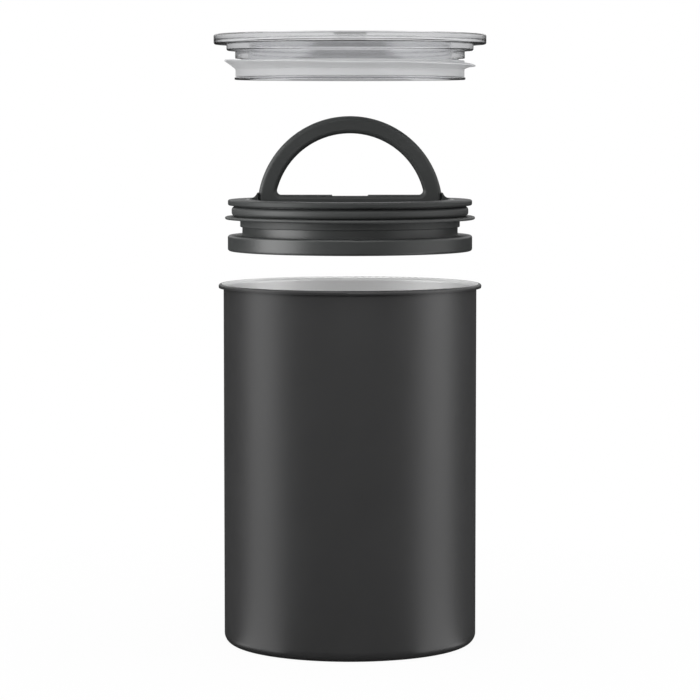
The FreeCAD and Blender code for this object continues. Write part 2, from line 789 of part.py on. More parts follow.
def make_plunger_screws():
    """Pan-head screws from below, through the base into the cover's bosses."""
    screws = []
    for number in range(int(d.screw_count.number)):
        angle = math.pi / 4 + 2 * math.pi * number / d.screw_count.number
        x = d.screw_circle * round(math.cos(angle), 9)
        y = d.screw_circle * round(math.sin(angle), 9)
        name = f"plunger_screw_{number + 1}"
        head = cylinder(f"{name}_head", d.screw_head_diameter / 2, d.screw_head_height, x, y,
                        d.plate_level - d.screw_head_height)
        shank = cylinder(f"{name}_shank", d.screw_diameter / 2, d.plate_thickness + d.screw_bite,
                         x, y, d.plate_level)
        screw = doc.addObject("Part::Fuse", name)
        screw.Base = head
        screw.Tool = shank
        screws.append(screw)
    return bundle("plunger_screws", screws)


def make_hinge_screws():
    """Countersunk screws that hold the hinge caps."""
    screws = []
    sink = (d.cap_screw_head - d.cap_screw_diameter) / 2
    for number, (side, end) in enumerate(((1, 1), (1, -1), (-1, 1), (-1, -1)), 1):
        x = cap_screw_x * side
        y = cap_screw_y * end
        name = f"hinge_screw_{number}"
        head = doc.addObject("Part::Cone", f"{name}_head")
        bind(head, "Radius1", d.cap_screw_diameter / 2)
        bind(head, "Radius2", d.cap_screw_head / 2)
        bind(head, "Height", sink)
        for axis, size in zip("xyz", (x, y, deck - sink)):
            bind(head, f"Placement.Base.{axis}", size)
        length = d.cap_thickness - sink + d.cap_screw_reach
        shank = cylinder(f"{name}_shank", d.cap_screw_diameter / 2, length, x, y, deck - sink - length)
        screw = doc.addObject("Part::Fuse", name)
        screw.Base = head
        screw.Tool = shank
        screws.append(screw)
    return bundle("hinge_screws", screws)


def bundle(label, solids):
    """Identical fasteners as one sub-part."""
    group = doc.addObject("Part::Compound", label)
    group.Label = label
    group.Links = solids
    bind(group, "Placement.Base.z", plunger_level)
    return group


parts = [
    make_canister_body(),
    make_lid_disc(),
    make_lid_gasket(),
    make_plunger_base(),
    make_plunger_gasket(),
    make_plunger_cover(),
    make_hinge_cap("hinge_cap_right", 0),
    make_hinge_cap("hinge_cap_left", 180),
    make_handle(),
    *make_valve(),
    make_plunger_screws(),
    make_hinge_screws(),
]
doc.recompute()

# Nothing is written unless every feature and sub-part came out sound
for thing in doc.Objects:
    if "Invalid" in thing.State or "Error" in thing.State:
        raise ValueError(f"{thing.Label} failed: {thing.State}")
for part in parts:
    if part.Shape.isNull() or not part.Shape.isValid():
        raise ValueError(f"{part.Label} has no sound shape")

os.makedirs("parts", exist_ok=True)
for part in parts:
    part.Shape.exportStep(f"parts/{part.Label}.step")
    print(f"{part.Label}: {len(part.Shape.Solids)} solid, {part.Shape.Volume:.1f} mm3")
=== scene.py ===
import json
import math

import bmesh
import bpy
from bpy.props import FloatProperty, FloatVectorProperty, IntProperty, PointerProperty
from mathutils import Matrix, Vector


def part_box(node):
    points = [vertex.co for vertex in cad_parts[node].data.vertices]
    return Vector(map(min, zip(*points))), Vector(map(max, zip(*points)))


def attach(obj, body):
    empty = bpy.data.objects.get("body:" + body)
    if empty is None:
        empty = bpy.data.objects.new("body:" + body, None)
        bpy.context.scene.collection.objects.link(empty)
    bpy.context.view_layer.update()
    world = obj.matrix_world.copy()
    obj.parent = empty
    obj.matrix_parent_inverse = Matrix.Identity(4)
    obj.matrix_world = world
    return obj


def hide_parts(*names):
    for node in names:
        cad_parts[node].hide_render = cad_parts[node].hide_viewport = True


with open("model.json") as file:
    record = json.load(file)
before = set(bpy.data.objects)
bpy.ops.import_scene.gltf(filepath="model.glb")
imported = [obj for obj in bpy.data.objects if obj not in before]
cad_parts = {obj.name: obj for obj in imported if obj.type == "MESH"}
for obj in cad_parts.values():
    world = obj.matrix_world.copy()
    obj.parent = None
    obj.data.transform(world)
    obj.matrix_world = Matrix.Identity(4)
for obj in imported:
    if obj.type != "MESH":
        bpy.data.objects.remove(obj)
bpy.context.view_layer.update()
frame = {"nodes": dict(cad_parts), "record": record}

bl_info = {
    "name": "Vacuum seal canister looks",
    "version": (1, 0, 0),
    "blender": (4, 5, 0),
    "location": "View3D > Sidebar > Canister",
    "description": "Finishes, gaskets, screws and studio for a canister with two lids",
    "category": "Object",
}

PANEL_TAB = "Canister"
WHITE = (1.0, 1.0, 1.0, 1.0)

# A millimetre, the distance at which two points count as one, and the turn of a sharp edge
MM = 0.001
NEAR = 0.004 * MM
SHARP_TURN = math.radians(40)

# Places that the pieces made here take from the packed nodes, in metres
POT_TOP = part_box("canister_body")[1].z
LID_SEAL_LOW, LID_SEAL_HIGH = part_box("lid_gasket")
INNER_SEAL_LOW, INNER_SEAL_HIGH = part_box("plunger_gasket")

# Packed nodes and pieces made here, listed under the body that carries them
CARRIED = {body: [frame["nodes"][name] for name in names]
           for body, names in frame["record"]["behaviour"]["bodies"].items()}


# Shader maths


class Signal:
    """One shader output that takes part in Python arithmetic."""

    def __init__(self, finish, socket):
        self.finish = finish
        self.socket = socket

    def maths(self, operation, first, second=0.0):
        return self.finish.add("ShaderNodeMath", {"operation": operation}, {0: first, 1: second})

    def __add__(self, other):
        return self.maths("ADD", self, other)

    __radd__ = __add__

    def __sub__(self, other):
        return self.maths("SUBTRACT", self, other)

    def __rsub__(self, other):
        return self.maths("SUBTRACT", other, self)

    def __mul__(self, other):
        return self.maths("MULTIPLY", self, other)

    __rmul__ = __mul__

    def __truediv__(self, other):
        return self.maths("DIVIDE", self, other)

    def __rtruediv__(self, other):
        return self.maths("DIVIDE", other, self)

    def __pow__(self, other):
        return self.maths("POWER", self, other)

    def __abs__(self):
        return self.maths("ABSOLUTE", self)

    def __gt__(self, other):
        return self.maths("GREATER_THAN", self, other)

    def __lt__(self, other):
        return self.maths("LESS_THAN", self, other)

    def at_least(self, other):
        return self.maths("MAXIMUM", self, other)

    def at_most(self, other):
        return self.maths("MINIMUM", self, other)

    def between(self, low, high):
        """Spread a level from 0 to 1 over a range."""
        return low + (high - low) * self


def diagonal(first, second):
    """Distance that two signals at right angles make up."""
    return (first * first + second * second) ** 0.5


class Finish:
    """The node tree of one material or of the world."""

    def __init__(self, owner):
        self.owner = owner
        owner.use_nodes = True
        self.tree = owner.node_tree
        self.tree.nodes.clear()

    def add(self, kind, settings=None, sockets=None, out=0):
        """Add a node, set it up, fill its sockets and hand back one output or several."""
        node = self.tree.nodes.new(kind)
        for name, value in (settings or {}).items():
            if name == "stops":
                stops = node.color_ramp.elements
                while len(stops) < len(value):
                    stops.new(1.0)
                for stop, (place, level) in zip(stops, value):
                    stop.position = place
                    stop.color = (level, level, level, 1.0)
            else:
                setattr(node, name, value)
        for name, value in (sockets or {}).items():
            if isinstance(value, Signal):
                self.tree.links.new(value.socket, node.inputs[name])
            else:
                node.inputs[name].default_value = value
        if isinstance(out, tuple):
            return [Signal(self, node.outputs[name]) for name in out]
        return Signal(self, node.outputs[out]) if node.outputs else node

    def place(self):
        """Object coordinates as one vector."""
        return self.add("ShaderNodeTexCoord", out="Object")

    def axes(self, vector):
        return self.add("ShaderNodeSeparateXYZ", None, {"Vector": vector}, out=("X", "Y", "Z"))

    def stretch(self, vector, scale):
        return self.add("ShaderNodeMapping", None, {"Vector": vector, "Scale": scale})

    def join(self, x, y, z):
        return self.add("ShaderNodeCombineXYZ", None, {"X": x, "Y": y, "Z": z})

    def noise(self, vector, scale, detail=2.0, roughness=0.5):
        sockets = {"Vector": vector, "Scale": scale, "Detail": detail, "Roughness": roughness}
        return self.add("ShaderNodeTexNoise", {"noise_dimensions": "3D"}, sockets, out="Fac")

    def grains(self, vector, scale):
        return self.add("ShaderNodeTexVoronoi", {"feature": "F1"},
                        {"Vector": vector, "Scale": scale}, out="Distance")

    def ramp(self, level, *stops):
        return self.add("ShaderNodeValToRGB", {"stops": stops}, {"Fac": level}, out="Color")

    def colours(self, mask, first, second):
        """Mix two colours by a mask."""
        sockets = {0: mask, 6: first, 7: second}
        return self.add("ShaderNodeMix", {"data_type": "RGBA"}, sockets, out=2)

    def mottled(self, mask, colour, spread):
        """One colour, made darker and lighter by a mask."""
        return self.colours(mask, shade(colour, 1 - spread), shade(colour, 1 + spread))

    def relief(self, height, distance, strength):
        return self.add("ShaderNodeBump", None,
                        {"Strength": strength, "Distance": distance, "Height": height})

    def shown(self, shader, kind="Material"):
        """Lead a shader to the output."""
        self.add(f"ShaderNodeOutput{kind}", None, {"Surface": shader})

    def surface(self, **sockets):
        """Finish the material with one surface shader; words are joined by underscores."""
        named = {name.replace("_", " "): value for name, value in sockets.items()}
        self.shown(self.add("ShaderNodeBsdfPrincipled", None, named))
        return self.owner


def new_finish(name):
    return Finish(bpy.data.materials.new(name))


def shade(colour, factor):
    """A colour made lighter or darker, with full alpha."""
    return (*[channel * factor for channel in colour[:3]], 1.0)


def dress(material, *nodes):
    """Give packed nodes one material in place of the plain one."""
    for name in nodes:
        slots = frame["nodes"][name].data.materials
        slots.clear()
        slots.append(material)


# Meshes


def drawn_profile(mesh, profile, turn=0.0):
    """Draw radii and heights as a line of edges, in the plane at one turn round the Z axis."""
    corners = [mesh.verts.new((radius * math.cos(turn), radius * math.sin(turn), level))
               for radius, level in profile]
    return corners, [mesh.edges.new(pair) for pair in zip(corners, corners[1:])]


def spun_ring(profile, steps):
    """A closed piece, turned from radii and heights that run round a ring or from axis to axis."""
    mesh = bmesh.new()
    corners, edges = drawn_profile(mesh, profile)
    if profile[0][0] > 0:
        edges.append(mesh.edges.new((corners[-1], corners[0])))
    bmesh.ops.spin(mesh, geom=corners + edges, cent=(0, 0, 0), axis=(0, 0, 1),
                   angle=math.tau, steps=steps, use_merge=True)
    bmesh.ops.remove_doubles(mesh, verts=mesh.verts, dist=NEAR)
    bmesh.ops.recalc_face_normals(mesh, faces=mesh.faces)
    return mesh


def round_rings(mesh, places, size, segments):
    """Round the ring edges that run at the given radii and heights."""
    def at(vert):
        found = math.hypot(vert.co.x, vert.co.y), vert.co.z
        return any(math.dist(found, place) < NEAR for place in places)

    edges = [edge for edge in mesh.edges
             if at(edge.verts[0]) and at(edge.verts[1])
             and abs(edge.verts[0].co.z - edge.verts[1].co.z) < NEAR
             and abs(edge.verts[0].co.xy.length - edge.verts[1].co.xy.length) < NEAR]
    if not edges:
        raise RuntimeError("no ring edge lies at the places given")
    bmesh.ops.bevel(mesh, geom=edges, offset=size, offset_type="OFFSET", segments=segments,
                    profile=0.5, affect="EDGES", material=-1, clamp_overlap=True)


def hang_lip(mesh, root, tip, drop, wave, swings, bend=1.0):
    """Lower a ring's lip from root to tip radius; each swing is a share, a count and a phase."""
    for vert in mesh.verts:
        reach = max(0.0, (vert.co.xy.length - root) / (tip - root))
        turn = math.atan2(vert.co.y, vert.co.x)
        swing = sum(share * math.sin(count * turn + phase) for share, count, phase in swings)
        vert.co.z -= reach ** bend * (drop + wave * swing)


def fresh(result, kind):
    """The new elements of one kind that an extrusion hands back."""
    return [item for item in result["geom"] if isinstance(item, kind)]


def drawn_out(mesh, edges, widen, rise):
    """Extrude a loop that lies round the Z axis, to a new width and level."""
    result = bmesh.ops.extrude_edge_only(mesh, edges=edges)
    corners = fresh(result, bmesh.types.BMVert)
    bmesh.ops.scale(mesh, vec=(widen, widen, 1.0), verts=corners)
    bmesh.ops.translate(mesh, vec=(0.0, 0.0, rise), verts=corners)
    return fresh(result, bmesh.types.BMEdge)


def cross_screw(crown, steps, arm, depth, place, turn):
    """A screw with a cross recess: a crown radius, then the radii and levels down to its tip."""
    mesh = bmesh.new()
    bmesh.ops.create_circle(mesh, radius=crown, segments=32)
    rim = list(mesh.edges)
    half_width = arm * 0.26
    floor_share = 0.62
    outline = []
    for quarter in range(4):
        spin = Matrix.Rotation(quarter * math.pi / 2, 4, "Z")
        outline += [mesh.verts.new(spin @ Vector((x, y, 0)))
                    for x, y in ((half_width, half_width), (half_width, arm), (-half_width, arm))]
    recess = [mesh.edges.new(pair) for pair in zip(outline, outline[1:] + outline[:1])]
    bmesh.ops.triangle_fill(mesh, edges=rim + recess, use_beauty=True, normal=(0, 0, 1))
    bmesh.ops.edgeloop_fill(mesh, edges=drawn_out(mesh, recess, floor_share, -depth))
    radius, level = crown, 0.0
    for wider, lower in steps:
        rim = drawn_out(mesh, rim, wider / radius, lower - level)
        radius, level = wider, lower
    bmesh.ops.edgeloop_fill(mesh, edges=rim)
    bmesh.ops.recalc_face_normals(mesh, faces=mesh.faces)
    bmesh.ops.transform(mesh, matrix=Matrix.Translation(place) @ turn, verts=mesh.verts)
    return mesh


def joined(meshes):
    """Put several bmeshes into one."""
    whole = bmesh.new()
    for mesh in meshes:
        data = bpy.data.meshes.new("joined")
        mesh.to_mesh(data)
        mesh.free()
        whole.from_mesh(data)
        bpy.data.meshes.remove(data)
    return whole


def placed(name, mesh, material):
    """Turn a bmesh into an object of the scene."""
    data = bpy.data.meshes.new(name)
    mesh.to_mesh(data)
    mesh.free()
    data.materials.append(material)
    piece = bpy.data.objects.new(name, data)
    bpy.context.scene.collection.objects.link(piece)
    return piece


def new_piece(name, mesh, material, body, slot, *nodes):
    """Turn a bmesh into a piece that rides on a body and stands for packed nodes."""
    for face in mesh.faces:
        face.smooth = True
    for edge in mesh.edges:
        edge.smooth = not edge.is_manifold or edge.calc_face_angle() < SHARP_TURN
    piece = placed(name, mesh, material)
    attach(piece, body)
    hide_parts(*nodes)
    CARRIED[body].append(piece)


# Settings


class PotSettings(bpy.types.PropertyGroup):
    """Painted steel pot"""
    paint: FloatVectorProperty(
        name="Paint", description="Charcoal paint on the outside of the pot",
        subtype="COLOR", size=3, min=0, max=1, default=(0.024, 0.024, 0.0244))
    steel: FloatVectorProperty(
        name="Steel", description="Bare steel on the inside of the pot",
        subtype="COLOR", size=3, min=0, max=1, default=(0.74, 0.74, 0.74))
    paint_roughness: FloatProperty(
        name="Paint roughness", description="How far the paint spreads a highlight",
        subtype="FACTOR", min=0, max=1, default=0.42)
    wall: FloatProperty(
        name="Wall", description="Thickness of the steel", unit="LENGTH", default=0.6 * MM)
    corner: FloatProperty(
        name="Base corner", description="Outer radius of the rounded base corner",
        unit="LENGTH", default=4.8 * MM)
    radius: FloatProperty(
        name="Radius", description="Outer radius of the straight wall",
        unit="LENGTH", default=60.3 * MM)
    flare: FloatProperty(
        name="Flare", description="Radius at which the inside wall turns out to the rim",
        unit="LENGTH", default=1.9 * MM)
    paint_edge: FloatProperty(
        name="Paint edge", description="Distance from the axis at which the rim's paint starts",
        unit="LENGTH", default=61.2 * MM)


class LidSettings(bpy.types.PropertyGroup):
    """Clear lid and its gasket"""
    tint: FloatVectorProperty(
        name="Tint", description="Colour of the clear plastic",
        subtype="COLOR", size=3, min=0, max=1, default=(0.885, 0.89, 0.905))
    silicone: FloatVectorProperty(
        name="Silicone", description="Milky silicone of the lid's gasket",
        subtype="COLOR", size=3, min=0, max=1, default=(0.55, 0.554, 0.562))
    lip_wave: FloatProperty(
        name="Lip wave", description="How far the thin lip hangs out of level",
        unit="LENGTH", default=1.05 * MM)
    lip_drop: FloatProperty(
        name="Lip drop", description="How far the thin lip hangs down on average",
        unit="LENGTH", default=-0.1 * MM)
    steps: IntProperty(
        name="Ring steps", description="Segments round a gasket; the clear lid has twice as many",
        min=48, max=512, default=256)


class InnerLidSettings(bpy.types.PropertyGroup):
    """Inner lid with handle and valve"""
    plastic: FloatVectorProperty(
        name="Plastic", description="Black moulded plastic of deck and handle",
        subtype="COLOR", size=3, min=0, max=1, default=(0.025, 0.027, 0.0265))
    satin: FloatVectorProperty(
        name="Satin plastic", description="Satin black plastic of the bottom ring",
        subtype="COLOR", size=3, min=0, max=1, default=(0.026, 0.028, 0.0275))
    rubber: FloatVectorProperty(
        name="Rubber", description="Black rubber of the gasket",
        subtype="COLOR", size=3, min=0, max=1, default=(0.036, 0.038, 0.0375))
    valve: FloatVectorProperty(
        name="Valve plastic", description="Grey plastic of the valve",
        subtype="COLOR", size=3, min=0, max=1, default=(0.09, 0.09, 0.092))
    lip_wave: FloatProperty(
        name="Lip wave", description="How far the wiper lip runs out of level",
        unit="LENGTH", default=0.12 * MM)


class StageSettings(bpy.types.PropertyGroup):
    """Camera, light and floor"""
    camera_distance: FloatProperty(
        name="Camera distance", description="From the pot's axis to the camera",
        unit="LENGTH", default=1.417)
    camera_height: FloatProperty(
        name="Camera height", description="Above the floor", unit="LENGTH", default=0.2524)
    aim_height: FloatProperty(
        name="Aim height", description="Point on the pot's axis that the camera looks at",
        unit="LENGTH", default=0.1405)
    lens: FloatProperty(
        name="Lens", description="Focal length in millimetres", unit="CAMERA", default=152.9)
    top_light: FloatProperty(
        name="Top light", description="Power of the overhead softbox in watts",
        unit="POWER", default=8.0)
    front_light: FloatProperty(
        name="Front light", description="Power of the softbox above the camera in watts",
        unit="POWER", default=8.0)
    side_light: FloatProperty(
        name="Side light", description="Power of each side softbox on the pot in watts",
        unit="POWER", default=10.0)
    mouth_light: FloatProperty(
        name="Mouth light", description="Power of the lamp on the inside of the pot in watts",
        unit="POWER", default=0.026)
    gasket_light: FloatProperty(
        name="Gasket light", description="Power of the left softbox on the lid's gasket in watts",
        unit="POWER", default=4.5)
    inner_lid_light: FloatProperty(
        name="Inner lid light", description="Power of the left softbox on the inner lid in watts",
        unit="POWER", default=16.8)
    fill: FloatProperty(
        name="Fill", description="Strength of the even light from all round", default=0.45)
    surround: FloatProperty(
        name="Surround", description="Brightness of the dark cards round the set", default=0.035)
    floor_glow: FloatProperty(
        name="Floor glow", description="Brightness of the floor's strips beside the pot's foot",
        default=2.2)
    screen: FloatProperty(
        name="Screen", description="Brightness of the grey screen seen through the lid",
        default=0.66)
    strip: FloatProperty(
        name="Strip", description="Brightness of the darker strip behind the middle of the lid",
        default=0.3)


# Finishes


def painted_steel_finish(pot):
    """Charcoal paint outside and brushed steel inside, parted at half the wall and on the rim."""
    finish = new_finish("painted_steel")
    place = finish.place()
    x, y, z = finish.axes(place)
    radius = diagonal(x, y)

    # Inside or outside, by the depth under the skin of the base corner and of the flare
    edge_width, noise_middle = 0.16 * MM, 0.5
    edge_wander = (finish.noise(place, scale=900.0) - noise_middle) * edge_width
    beyond_flat = (radius - (pot.radius - pot.corner)).at_least(0.0)
    below_corner = (pot.corner - z).at_least(0.0)
    skin_depth = pot.corner - diagonal(beyond_flat, below_corner)
    base_inside = skin_depth + edge_wander > pot.wall / 2
    turn_radius = pot.radius - pot.wall + pot.flare
    inward = (turn_radius - radius).at_least(0.0)
    upward = (z - (POT_TOP - pot.flare)).at_least(0.0)
    flare_depth = pot.flare - diagonal(inward, upward)
    rim_inside = (flare_depth < pot.wall / 2) * (radius + edge_wander < pot.paint_edge)
    upper = z > POT_TOP / 2
    inside = upper * rim_inside + (1 - upper) * base_inside

    # Paint: slow mottling, fine orange peel and a few specks
    speck_size, speck_share, speck_shade = 0.06, 0.35, 1.7
    mottle = finish.noise(place, scale=55.0, detail=3.0)
    peel = finish.noise(place, scale=1500.0, detail=1.0)
    specks = finish.grains(place, scale=700.0) < speck_size
    paint = finish.mottled(mottle, pot.paint, spread=0.06)
    paint = finish.colours(specks * speck_share, paint, shade(pot.paint, speck_shade))
    paint_roughness = mottle.between(pot.paint_roughness - 0.03, pot.paint_roughness + 0.03)

    # Steel: fine lines that run round the wall and the floor
    run = z - radius
    fine, broad = 0.004, 0.05
    fine_share, broad_share = 0.6, 0.4
    darkest, lightest = shade(pot.steel, 0.86), shade(pot.steel, 1.1)
    brushed = finish.noise(finish.join(run, x * fine, y * fine),
                           scale=2600.0, detail=4.0, roughness=0.6)
    drawn = finish.noise(finish.join(run, x * broad, y * broad), scale=160.0)
    steel = finish.colours(brushed * fine_share + drawn * broad_share, darkest, lightest)
    steel_roughness = brushed.between(0.47, 0.63)
    line_share = 0.5

    height = inside * brushed * line_share + (1 - inside) * peel
    return finish.surface(
        Base_Color=finish.colours(inside, paint, steel),
        Metallic=inside,
        Roughness=inside * steel_roughness + (1 - inside) * paint_roughness,
        Specular_IOR_Level=0.32,
        Normal=finish.relief(height, distance=0.02 * MM, strength=0.6))


def clear_plastic_finish(lid):
    """Polished clear plastic with faint haze, moulding ripples and scuffs."""
    finish = new_finish("clear_plastic")
    place = finish.place()
    scuff_share = 0.01
    haze = finish.noise(place, scale=40.0, detail=3.0)
    ripples = finish.noise(finish.stretch(place, (1.0, 1.0, 0.5)), scale=45.0, detail=1.0)
    scuffs = finish.noise(finish.stretch(place, (1.0, 6.0, 1.0)), scale=900.0)
    return finish.surface(
        Base_Color=finish.mottled(haze, lid.tint, spread=0.03),
        Roughness=haze.between(0.05, 0.1) + scuffs * scuff_share,
        IOR=1.49,
        Transmission_Weight=1.0,
        Normal=finish.relief(ripples, distance=0.05 * MM, strength=0.1))


def milky_silicone_finish(lid):
    """Cloudy silicone: soft, slightly dusty and a little see-through."""
    finish = new_finish("milky_silicone")
    place = finish.place()
    cloud = finish.noise(place, scale=90.0, detail=3.0)
    dust = finish.noise(place, scale=2200.0)
    return finish.surface(
        Base_Color=finish.mottled(cloud, lid.silicone, spread=0.05),
        Roughness=dust.between(0.46, 0.58),
        IOR=1.41,
        Specular_IOR_Level=0.35,
        Subsurface_Weight=0.6,
        Subsurface_Radius=(1.0, 1.0, 1.0),
        Subsurface_Scale=2.0 * MM,
        Normal=finish.relief(dust, distance=0.02 * MM, strength=0.4))


def moulded_finish(name, colour, roughness, grain_scale, grain_depth, gloss):
    """Moulded plastic or rubber with a spark-eroded grain and faint flow marks."""
    finish = new_finish(name)
    place = finish.place()
    grain_share, pit_share, pit_width = 0.6, 0.4, 0.45
    pit_scale = grain_scale * 0.6
    flow = finish.noise(finish.stretch(place, (1.0, 1.0, 2.5)), scale=38.0, detail=3.0)
    grain = finish.noise(place, grain_scale, roughness=0.6)
    pits = finish.ramp(finish.grains(place, pit_scale), (0.0, 0.0), (pit_width, 1.0))
    return finish.surface(
        Base_Color=finish.mottled(flow, colour, spread=0.08),
        Roughness=flow.between(roughness - 0.04, roughness + 0.04),
        Specular_IOR_Level=gloss,
        Normal=finish.relief(grain * grain_share + pits * pit_share, grain_depth, strength=0.6))


def bare_steel_finish():
    """Turned and plated steel of the screws and the spring."""
    finish = new_finish("bare_steel")
    place = finish.place()
    stained, clean = (0.48, 0.48, 0.47, 1.0), (0.66, 0.66, 0.65, 1.0)
    lathe = finish.noise(finish.stretch(place, (1.0, 1.0, 6.0)), scale=1800.0, detail=3.0)
    stain = finish.noise(place, scale=220.0, detail=3.0)
    return finish.surface(
        Base_Color=finish.colours(stain, stained, clean),
        Metallic=1.0,
        Roughness=lathe.between(0.24, 0.38),
        Normal=finish.relief(lathe, distance=0.01 * MM, strength=0.5))


# Stage pieces


def facing(name, data, where, target):
    """A lamp or camera turned towards a point."""
    piece = bpy.data.objects.new(name, data)
    piece.location = where
    piece.rotation_mode = "QUATERNION"
    piece.rotation_quaternion = (Vector(target) - piece.location).to_track_quat("-Z", "Y")
    bpy.context.scene.collection.objects.link(piece)
    return piece


def softbox(name, power, size, where, target, pieces):
    """A rectangular lamp, out of sight, that lights only the pieces given."""
    lamp = bpy.data.lights.new(name, "AREA")
    lamp.shape = "RECTANGLE"
    lamp.size, lamp.size_y = size
    lamp.energy = power
    holder = facing(name, lamp, where, target)
    holder.visible_camera = False
    lit = bpy.data.collections.new(f"lit_by_{name}")
    for piece in pieces:
        lit.objects.link(piece)
    holder.light_linking.receiver_collection = lit


def staged(name, mesh, material):
    """Turn a bmesh into a piece of the stage."""
    piece = placed(name, mesh, material)
    return piece


def card(name, profile, strength, seen_by, start=0.0, sweep=math.tau, pattern=None):
    """A glowing screen round the set, seen by one kind of ray and casting no shade."""
    finish = new_finish(name)
    colour = pattern(finish) if pattern else WHITE
    finish.shown(finish.add("ShaderNodeEmission", None, {"Color": colour, "Strength": strength}))
    mesh = bmesh.new()
    corners, edges = drawn_profile(mesh, profile, start)
    bmesh.ops.spin(mesh, geom=corners + edges, cent=(0, 0, 0), axis=(0, 0, 1),
                   angle=sweep, steps=64)
    piece = staged(name, mesh, finish.owner)
    for ray in ("camera", "diffuse", "glossy", "transmission", "shadow"):
        setattr(piece, f"visible_{ray}", ray == seen_by)


# Operators


class CANISTER_OT_paint_pot(bpy.types.Operator):
    """Paint the pot outside and leave its inside bare steel"""
    bl_idname = "canister.paint_pot"
    bl_label = "Paint pot"

    def execute(self, context):
        dress(painted_steel_finish(context.scene.canister_pot), "canister_body")
        return {"FINISHED"}


class CANISTER_OT_clear_lid(bpy.types.Operator):
    """Turn the clear lid finely enough for its plastic to bend light smoothly"""
    bl_idname = "canister.clear_lid"
    bl_label = "Clear lid"

    def execute(self, context):
        lid = context.scene.canister_lid
        corner, far_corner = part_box("lid_disc")
        low, top, flange = corner.z, far_corner.z, far_corner.x
        inside, seat, neck, bead, step = 48.5 * MM, 51.5 * MM, 54.4 * MM, 54.75 * MM, 58.55 * MM
        bead_top, seat_top = low + 1.2 * MM, low + 10.1 * MM
        step_low, flange_low, ceiling = low + 13.7 * MM, low + 16.65 * MM, top - 2.8 * MM
        mesh = spun_ring([
            (0.0, ceiling), (inside, ceiling), (inside, low), (bead, low), (bead, bead_top),
            (seat, bead_top), (seat, seat_top), (neck, seat_top), (neck, step_low),
            (step, step_low), (step, flange_low), (flange, flange_low), (flange, top), (0.0, top)],
            2 * lid.steps)
        outer_edges = [(flange, flange_low), (flange, top), (step, step_low)]
        round_rings(mesh, outer_edges, size=0.9 * MM, segments=6)
        round_rings(mesh, [(bead, low), (bead, bead_top)], size=0.4 * MM, segments=4)
        round_rings(mesh, [(inside, ceiling)], size=2.0 * MM, segments=6)
        clear = clear_plastic_finish(lid)
        new_piece("clear_lid_disc", mesh, clear, "lid", "clear_plastic", "lid_disc")
        return {"FINISHED"}


class CANISTER_OT_lid_gasket(bpy.types.Operator):
    """Turn the lid's silicone gasket, with a thin lip that hangs a little out of level"""
    bl_idname = "canister.lid_gasket"
    bl_label = "Lid gasket"

    def execute(self, context):
        lid = context.scene.canister_lid
        low, high = LID_SEAL_LOW.z, LID_SEAL_HIGH.z
        inner, outer, tip = 51.6 * MM, 54.3 * MM, LID_SEAL_HIGH.x
        middle = (outer + tip) / 2
        root_low, root_high = low + 3.7 * MM, low + 6.85 * MM
        lip, half_tip = low + 6.4 * MM, 0.22 * MM
        middle_low, middle_high = lip - 1.25 * MM, lip + 0.42 * MM
        mesh = spun_ring([
            (inner, low), (outer, low), (outer, root_low), (middle, middle_low),
            (tip, lip - half_tip), (tip, lip + half_tip), (middle, middle_high),
            (outer, root_high), (outer, high), (inner, high)], lid.steps)
        round_rings(mesh, [(outer, low), (outer, high)], size=0.4 * MM, segments=3)
        round_rings(mesh, [(outer, root_low), (outer, root_high)], size=0.45 * MM, segments=3)
        swings = ((1.0, 1, math.pi / 2), (0.22, 3, 0.8), (0.1, 7, 0.0))
        hang_lip(mesh, outer, tip, lid.lip_drop, lid.lip_wave, swings, bend=1.3)
        milky = milky_silicone_finish(lid)
        new_piece("lid_gasket_ring", mesh, milky, "lid", "milky_silicone", "lid_gasket")
        return {"FINISHED"}


class CANISTER_OT_inner_gasket(bpy.types.Operator):
    """Turn the inner lid's rubber gasket with its bead, wiper lip and skirt"""
    bl_idname = "canister.inner_gasket"
    bl_label = "Inner lid gasket"

    def execute(self, context):
        inner_lid = context.scene.canister_inner_lid
        low, high = INNER_SEAL_LOW.z, INNER_SEAL_HIGH.z
        inner, skirt, tip = 50.7 * MM, 52.3 * MM, INNER_SEAL_HIGH.x
        groove, bead = 54.4 * MM, 56.35 * MM
        bead_low, bead_high = low + 5.1 * MM, low + 9.8 * MM
        lip_low, lip_high = low + 3.6 * MM, low + 4.9 * MM
        root = low + 3.2 * MM
        mesh = spun_ring([
            (inner, low), (skirt, low), (skirt, root), (tip, lip_low), (tip, lip_high),
            (groove, lip_high), (groove, bead_low), (bead, bead_low), (bead, bead_high),
            (groove, bead_high), (groove, high), (inner, high)], context.scene.canister_lid.steps)
        round_rings(mesh, [(bead, bead_low), (bead, bead_high)], size=1.8 * MM, segments=8)
        round_rings(mesh, [(tip, lip_low), (tip, lip_high)], size=0.6 * MM, segments=5)
        round_rings(mesh, [(skirt, low)], size=0.35 * MM, segments=3)
        swings = ((-1.0, 2, 0.4), (-0.5, 5, 0.0))
        hang_lip(mesh, bead, tip, drop=0.0, wave=inner_lid.lip_wave, swings=swings)
        rubber = moulded_finish("black_rubber", inner_lid.rubber, roughness=0.52,
                                grain_scale=1600.0, grain_depth=0.02 * MM, gloss=0.42)
        new_piece("inner_gasket_ring", mesh, rubber, "plunger", "black_rubber", "plunger_gasket")
        dress(rubber, "valve_seal")
        return {"FINISHED"}


